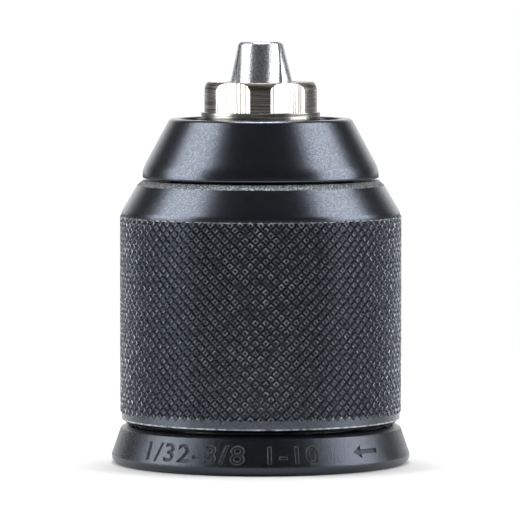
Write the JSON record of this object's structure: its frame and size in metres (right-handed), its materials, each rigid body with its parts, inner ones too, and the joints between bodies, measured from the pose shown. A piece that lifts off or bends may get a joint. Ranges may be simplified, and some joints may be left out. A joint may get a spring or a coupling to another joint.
{
  "type": "keyless drill chuck",
  "caption": "Keyless drill chuck with a knurled clamping sleeve, slanted sliding jaws, a threaded split nut on a ball bearing and a ratchet lock.",
  "frame": {"origin": "middle of the rear ring's base, on the chuck's axis", "axes": "+Z along the chuck's axis towards the jaws, -Y towards the marked side of the rear ring"},
  "size_m": [0.0456, 0.0456, 0.0642],
  "materials": {
    "nickel_steel": "turned and milled steel, nickel plated",
    "jaw_steel": "fine ground satin",
    "black_steel": "satin blue-black oxide",
    "black_plastic": "fine-grained moulded polyamide",
    "hardened_steel": "ground, lightly oiled",
    "bearing_steel": "polished",
    "spring_steel": "blued",
    "brass": "stamped"
  },
  "bodies": {
    "chuck": {"chuck_body": "nickel_steel", "front_cap": "black_steel", "rear_ring": "black_plastic", "ratchet_ring": "hardened_steel", "bearing_washer": "hardened_steel"},
    "nut": {"nut_half_a": "hardened_steel", "nut_half_b": "hardened_steel", "nut_cup": "hardened_steel", "bearing_race": "hardened_steel", "detent_spring": "spring_steel"},
    "bearing_cage": {"ball_cage": "brass", "ball_01": "bearing_steel", "ball_02": "bearing_steel", "ball_03": "bearing_steel", "ball_04": "bearing_steel", "ball_05": "bearing_steel", "ball_06": "bearing_steel", "ball_07": "bearing_steel", "ball_08": "bearing_steel", "ball_09": "bearing_steel", "ball_10": "bearing_steel", "ball_11": "bearing_steel", "ball_12": "bearing_steel", "ball_13": "bearing_steel", "ball_14": "bearing_steel", "ball_15": "bearing_steel", "ball_16": "bearing_steel"},
    "sleeve": {"clamping_sleeve": "black_steel", "drive_ring": "hardened_steel", "lock_cam": "hardened_steel"},
    "pawl": {"pawl": "spring_steel"},
    "jaw_1": {"jaw_1": "jaw_steel"},
    "jaw_2": {"jaw_2": "jaw_steel"},
    "jaw_3": {"jaw_3": "jaw_steel"}
  },
  "joints": [
    {"name": "nut_turn", "type": "hinge", "parent": "chuck", "child": "nut", "pos_m": [0, 0, 0.033], "axis": [0, 0, 1], "range_deg": [0, 4632]},
    {"name": "cage_turn", "type": "hinge", "parent": "chuck", "child": "bearing_cage", "pos_m": [0, 0, 0.0264], "axis": [0, 0, 1], "range_deg": [0, 2316]},
    {"name": "jaw_1_slide", "type": "slide", "parent": "chuck", "child": "jaw_1", "axis": [-0.0378, -0.256, -0.9659], "range_m": [0, 0.0193]},
    {"name": "jaw_2_slide", "type": "slide", "parent": "chuck", "child": "jaw_2", "axis": [0.2406, 0.0953, -0.9659], "range_m": [0, 0.0193]},
    {"name": "jaw_3_slide", "type": "slide", "parent": "chuck", "child": "jaw_3", "axis": [-0.2028, 0.1608, -0.9659], "range_m": [0, 0.0193]},
    {"name": "sleeve_lock", "type": "hinge", "parent": "nut", "child": "sleeve", "pos_m": [0, 0, 0.033], "axis": [0, 0, -1], "range_deg": [0, 15]},
    {"name": "pawl_swing", "type": "hinge", "parent": "nut", "child": "pawl", "pos_m": [0.0095, -0.01645, 0.0197], "axis": [0, 0, 1], "range_deg": [0, 3.5]}
  ],
  "couplings": [
    {"joint": "cage_turn", "follows": "nut_turn", "ratio": 0.5},
    {"joint": "jaw_1_slide", "follows": "nut_turn", "m_per_rad": 0.00023873},
    {"joint": "jaw_2_slide", "follows": "nut_turn", "m_per_rad": 0.00023873},
    {"joint": "jaw_3_slide", "follows": "nut_turn", "m_per_rad": 0.00023873},
    {"joint": "pawl_swing", "follows": "sleeve_lock", "ratio": 0.23333}
  ]
}
